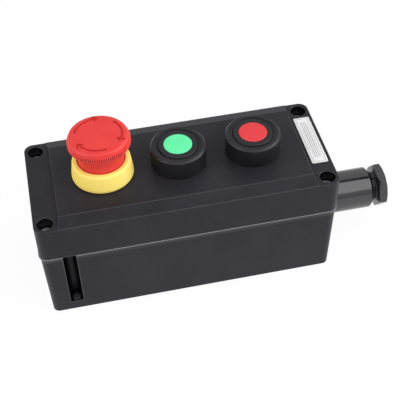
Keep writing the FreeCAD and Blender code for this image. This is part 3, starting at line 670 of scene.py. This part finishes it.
# Emergency stop: a yellow bell-shaped shroud clamped on the cover by a threaded barrel, and the
# stem that carries the red head through it, held up by a return spring.
YELLOW_DEEP = (0.94, 0.69, 0.13, 1)
YELLOW_PALE = (0.97, 0.79, 0.20, 1)
yellow = moulded("yellow plastic", YELLOW_DEEP, YELLOW_PALE, rough=0.55, grain=0.2, gloss=0.4)
dress(yellow, "estop_shroud")
dress(operator_plastic, "estop_barrel")
dress(plunger_plastic, "estop_stem")
dress(spring_steel, "estop_stem_clip", "estop_head_retainer")
spring_for("estop_spring", RETURN_WIRE, RETURN_TURNS, "estop_press")

# Mushroom head: red plastic, hollow below, with a hub that turns on the stem. Three arrows cut in
# its flat top show which way to twist it free, and fine ribs round its rim give the fingers hold.
RED_DEEP = (0.64, 0.027, 0.024, 1)
RED_PALE = (0.72, 0.043, 0.037, 1)
# A lighter red for the ribs, painted light so that they look lit.
LIT_RIB_DEEP = (0.84, 0.060, 0.054, 1)
LIT_RIB_PALE = (0.90, 0.085, 0.078, 1)
GROOVE_RED = (0.36, 0.009, 0.008, 1)
CROWN_RADIUS = 18.8 * MM
CROWN_HEIGHT = 3.4 * MM
CROWN_ROUNDING = 2.8 * MM
RIM_HEIGHT = 3.4 * MM
RIM_ROUNDING = 0.5 * MM
UNDERSIDE_RISE = 3.5 * MM
NECK_RADIUS = 14.6 * MM
NECK_WALL = 2.0 * MM
HUB_BORE = 6.7 * MM
HUB_WALL = 2.3 * MM
HUB_DEPTH = 10.4 * MM
HUB_LIFT = 4.5 * MM
HEAD_PLATE = 5.5 * MM
HEAD_STEPS = 128
ARROWS = 3
ARROW_RADIUS = 14.6 * MM
ARROW_TAIL = math.radians(163)
ARROW_SWEEP = math.radians(82)
ARROW_WIDTH = 1.4 * MM
ARROW_DEPTH = 1.2 * MM
BARB_LENGTH = 4.4 * MM
BARB_ANGLE = math.radians(40)
ARROW_STEPS = 24
RIBS = 88
RIB_WIDTH = 0.8 * MM
RIB_DEPTH = 2.0 * MM
RIB_RISE = 0.7 * MM
RIB_HEIGHT = 3.6 * MM
RIB_SIDES = 12


def grooved_red(low, high):
    """Red plastic, darker between these two heights, where it lies in the shade of the ribs."""
    finish, wire = blank_material("red plastic")
    skin = plastic(wire, RED_DEEP, RED_PALE, rough=0.45, grain=0.3, gloss=0.4)
    height = place_of(wire).axis("Z")
    groove = height.ramp(low, low + RIM_ROUNDING) * (1 - height.ramp(high - RIM_ROUNDING, high))
    skin["Base Color"] = groove.tint(skin["Base Color"], GROOVE_RED)
    close(wire, skin)
    return finish


def eased_corners(profile, steps=6):
    """A profile whose corners are rounded where a point carries a third number, its radius."""
    points = []
    for index, corner in enumerate(profile):
        here = Vector(corner[:2])
        if len(corner) == 2:
            points.append(here)
            continue
        back = (Vector(profile[index - 1][:2]) - here).normalized()
        ahead = (Vector(profile[index + 1][:2]) - here).normalized()
        cut = corner[2] / math.tan(back.angle(ahead) / 2)
        for step in range(steps + 1):
            share = step / steps
            points.append(here + back * cut * (1 - share) ** 2 + ahead * cut * share ** 2)
    return points


def turned(name, profile, finish):
    """A solid turned about Z from a profile that starts and ends on the axis."""
    rings = []
    for radius, height in eased_corners(profile):
        turns = [2 * math.pi * step / HEAD_STEPS for step in range(HEAD_STEPS)]
        rings.append([(radius * math.cos(turn), radius * math.sin(turn), height) for turn in turns])
    return mesh_piece(name, skinned(rings, False), finish)


def arrow_outline():
    """Half widths along one arrow, from its tip back: (distance behind the tip, offset)."""
    half = ARROW_WIDTH / 2
    back = BARB_LENGTH * math.cos(BARB_ANGLE)
    out = BARB_LENGTH * math.sin(BARB_ANGLE)
    heel = (back + ARROW_WIDTH * math.sin(BARB_ANGLE), out - ARROW_WIDTH * math.cos(BARB_ANGLE))
    neck = ARROW_WIDTH / math.sin(BARB_ANGLE) + half / math.tan(BARB_ANGLE)
    length = ARROW_SWEEP * ARROW_RADIUS
    shaft = [(neck + (length - neck) * step / ARROW_STEPS, half) for step in range(ARROW_STEPS + 1)]
    side = [(back, out), heel] + shaft
    mirrored = [(behind, -offset) for behind, offset in reversed(side)]
    return [(0, 0)] + side + mirrored


def arrow_cutter(top, finish):
    """Three prisms bent round the head's axis, to be cut from its flat."""
    shape = bmesh.new()
    for arrow in range(ARROWS):
        tip = ARROW_TAIL - ARROW_SWEEP + arrow * 2 * math.pi / ARROWS
        ring = []
        for behind, offset in arrow_outline():
            turn = tip + behind / ARROW_RADIUS
            radius = ARROW_RADIUS + offset
            spot = (radius * math.cos(turn), radius * math.sin(turn), top - ARROW_DEPTH)
            ring.append(shape.verts.new(spot))
        face = shape.faces.new(ring)
        raised = bmesh.ops.extrude_face_region(shape, geom=[face])["geom"]
        lifted = [item for item in raised if isinstance(item, bmesh.types.BMVert)]
        bmesh.ops.translate(shape, verts=lifted, vec=(0, 0, 2 * ARROW_DEPTH))
    return mesh_piece("arrow_cutter", shape, finish)


def rib_tree():
    """Upright round-edged ribs in a ring about Z, centred on the origin."""
    tree, size = node_tree("finger ribs", {
        "Ring radius": "NodeSocketFloat",
        "Ribs": "NodeSocketInt",
        "Rib width": "NodeSocketFloat",
        "Rib depth": "NodeSocketFloat",
        "Rib length": "NodeSocketFloat",
        "Finish": "NodeSocketMaterial",
    })
    ribs = size["Ribs"]
    width = size["Rib width"]
    spots = ribs.node("GeometryNodeMeshCircle", {}, {"Vertices": ribs, "Radius": size["Ring radius"]})
    rib = width.node("GeometryNodeMeshCylinder", {}, {
        "Vertices": RIB_SIDES, "Radius": width / 2, "Depth": size["Rib length"],
    })
    turn = ribs.node("GeometryNodeInputIndex") * (2 * math.pi) / ribs
    stance = ribs.node("ShaderNodeCombineXYZ", {}, {"Z": turn})
    stretch = {"X": size["Rib depth"] / width, "Y": 1.0, "Z": 1.0}
    ring = ribs.node("GeometryNodeInstanceOnPoints", {}, {
        "Points": spots,
        "Instance": rib,
        "Rotation": ribs.node("FunctionNodeEulerToRotation", {}, {"Euler": stance}),
        "Scale": ribs.node("ShaderNodeCombineXYZ", {}, stretch),
    })
    end_tree(ring, size["Finish"])
    return tree


head_low, head_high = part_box("estop_head")
head_radius = (head_high.x - head_low.x) / 2
groove_radius = head_radius - RIB_RISE
head_foot = head_low.z
head_top = head_high.z
rim_top = head_top - CROWN_HEIGHT
rim_low = rim_top - RIM_HEIGHT
neck_top = rim_low - UNDERSIDE_RISE
neck_inside = NECK_RADIUS - NECK_WALL
hub_radius = HUB_BORE + HUB_WALL
hub_foot = head_foot + HUB_LIFT
socket_top = head_top - HUB_DEPTH
ceiling = head_top - HEAD_PLATE
head_axis = Matrix.Translation((head_low.x + head_radius, 0, 0))
red_plastic = grooved_red(rim_low, rim_top)
# The ribs get a lighter copy of the red, as painted light.
lit_rib_red = moulded("rubbed red plastic", LIT_RIB_DEEP, LIT_RIB_PALE, rough=0.4, grain=0.2, gloss=0.4)
mushroom = turned("emergency_head", [
    (0, socket_top),
    (HUB_BORE, socket_top),
    (HUB_BORE, hub_foot),
    (hub_radius, hub_foot),
    (hub_radius, ceiling),
    (neck_inside, ceiling),
    (neck_inside, head_foot),
    (NECK_RADIUS, head_foot),
    (NECK_RADIUS, neck_top, RIM_ROUNDING),
    (groove_radius, rim_low, RIM_ROUNDING),
    (groove_radius, rim_top),
    (CROWN_RADIUS, head_top, CROWN_ROUNDING),
    (0, head_top),
], red_plastic)
cutter = arrow_cutter(head_top, red_plastic)
cut = mushroom.modifiers.new("arrows", "BOOLEAN")
cut.operation = "DIFFERENCE"
cut.object = cutter
made_plain(mushroom)
bpy.data.objects.remove(cutter)
mushroom.data.transform(head_axis)
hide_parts("estop_head")
finger_ribs = grown("emergency_head_ribs", rib_tree(), {
    "Ring radius": head_radius - RIB_DEPTH / 2,
    "Ribs": RIBS,
    "Rib width": RIB_WIDTH,
    "Rib depth": RIB_DEPTH,
    "Rib length": RIB_HEIGHT,
    "Finish": lit_rib_red,
}, head_axis @ Matrix.Translation((0, 0, rim_low + RIB_HEIGHT / 2)))
for part in (mushroom, finger_ribs):
    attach(part, "estop_head")

# Cover screws: four plated socket-head screws with spring washers, deep in the corner wells,
# driven last to close the box.
screw_steel = metal("bright plated steel", STEEL_DEEP, STEEL_PALE, rough=0.35, metallic=0.8)
dress(screw_steel, "cover_screws", "cover_screw_washers")

# Studio: a wide white floor and an even pale surround, with a large soft light on each side and one
# high in front, and a dark gap overhead, just behind that light, which glossy faces mirror.
FLOOR_SIZE = 12.0
FLOOR_GAP = 0.05 * MM
FLOOR_TONE = (0.82, 0.82, 0.82, 1)
FLOOR_GLOW = 0.95
WHITE = (1, 1, 1, 1)
SURROUND = 0.46
SHEEN = 0.85
HORIZON = 0.62
GAP_TONE = 0.03
GAP_BACK = 0.15
GAP_WIDTH = 0.17
GAP_LOW = 0.6
GAP_HIGH = 0.85


def seen_rays(wire):
    """1 for the rays that show the surround itself: to the eye, in gloss and through glass."""
    camera = wire.node("ShaderNodeLightPath", {}, {}, "Is Camera Ray")
    either = wire.sum("MAXIMUM", camera, camera.twin("Is Glossy Ray"))
    return wire.sum("MAXIMUM", either, camera.twin("Is Transmission Ray"))


floor_shape = bmesh.new()
bmesh.ops.create_grid(floor_shape, x_segments=1, y_segments=1, size=FLOOR_SIZE / 2)
bmesh.ops.translate(floor_shape, verts=floor_shape.verts, vec=(0, 0, cad_box[0].z - FLOOR_GAP))
floor_white, wire = blank_material("white floor")
matt = wire.node("ShaderNodeBsdfDiffuse", {}, {"Color": FLOOR_TONE})
glow = wire.node("ShaderNodeEmission", {}, {"Color": WHITE, "Strength": 1.0})
floor_mix = {0: seen_rays(wire) * FLOOR_GLOW, 1: matt, 2: glow}
wire.node("ShaderNodeOutputMaterial", {}, {"Surface": wire.node("ShaderNodeMixShader", {}, floor_mix)})
floor_mesh = bpy.data.meshes.new("floor")
floor_shape.to_mesh(floor_mesh)
floor_shape.free()
floor_mesh.materials.append(floor_white)
placed("floor", floor_mesh)

surround = bpy.data.worlds.new("surround")
surround.use_nodes = True
surround.node_tree.nodes.clear()
bpy.context.scene.world = surround
wire = Wire(surround.node_tree)
upward = wire.node("ShaderNodeTexCoord", {}, {}, "Generated").axis("Z")
off_gap = abs(upward.twin("Y") - GAP_BACK).ramp(0.5 * GAP_WIDTH, GAP_WIDTH)
gap = upward.ramp(GAP_LOW, GAP_HIGH) * (1 - off_gap)
camera_ray = wire.node("ShaderNodeLightPath", {}, {}, "Is Camera Ray")
sheen = HORIZON + (SHEEN - HORIZON) * upward.ramp(0.0, GAP_LOW)
shown = camera_ray + (1 - camera_ray) * (sheen - (SHEEN - GAP_TONE) * gap)
seen = seen_rays(wire)
level = seen * shown + (1 - seen) * SURROUND
backdrop = wire.node("ShaderNodeBackground", {}, {"Color": WHITE, "Strength": level})
wire.node("ShaderNodeOutputWorld", {}, {"Surface": backdrop})


def direction(azimuth, elevation):
    """Unit vector towards a place round the object; azimuth 0 is straight in front of it."""
    flat = math.cos(math.radians(elevation))
    turn = math.radians(azimuth)
    return Vector((flat * math.sin(turn), -flat * math.cos(turn), math.sin(math.radians(elevation))))


aim = (cad_box[0] + cad_box[1]) / 2


def softbox(name, azimuth, elevation, distance, width, height, watts):
    """A flat lamp that looks at the middle of the object from one side."""
    lamp = bpy.data.lights.new(name, "AREA")
    lamp.shape = "RECTANGLE"
    lamp.size = width
    lamp.size_y = height
    lamp.energy = watts
    towards = direction(azimuth, elevation)
    stand = bpy.data.objects.new(name, lamp)
    stand.location = aim + distance * towards
    stand.rotation_euler = (-towards).to_track_quat("-Z", "Y").to_euler()
    bpy.context.scene.collection.objects.link(stand)


softbox("front_softbox", azimuth=14, elevation=60, distance=1.5, width=1.3, height=1.85, watts=9.4)
softbox("right_softbox", azimuth=74, elevation=28, distance=1.4, width=1.0, height=1.2, watts=16)
softbox("left_softbox", azimuth=-76, elevation=26, distance=1.4, width=1.0, height=1.2, watts=9.5)

# Camera: a long lens that looks from the left of the front and well above, as the photograph does.
# Its place was fitted to the edges of the box.
VIEW_AZIMUTH = -10.977
VIEW_ELEVATION = 45.874
VIEW_ROLL = math.radians(-1.645)
VIEW_DISTANCE = 622.502 * MM
VIEW_TARGET = Vector((15.511, 12.013, 30.119)) * MM
VIEW_LENS = 81.222
SENSOR_WIDTH = 36
bpy.context.scene.view_settings.view_transform = "Standard"
lens = bpy.data.cameras.new("photo_view")
lens.lens = VIEW_LENS
lens.sensor_width = SENSOR_WIDTH
camera = bpy.data.objects.new("photo_view", lens)
backward = direction(VIEW_AZIMUTH, VIEW_ELEVATION)
right = Vector((0, 0, 1)).cross(backward).normalized()
upright = backward.cross(right)
side = math.cos(VIEW_ROLL) * right + math.sin(VIEW_ROLL) * upright
over = math.cos(VIEW_ROLL) * upright - math.sin(VIEW_ROLL) * right
camera.matrix_world = Matrix.Translation(VIEW_TARGET + VIEW_DISTANCE * backward) @ Matrix(
    (side, over, backward)
).transposed().to_4x4()
bpy.context.scene.collection.objects.link(camera)
bpy.context.scene.camera = camera
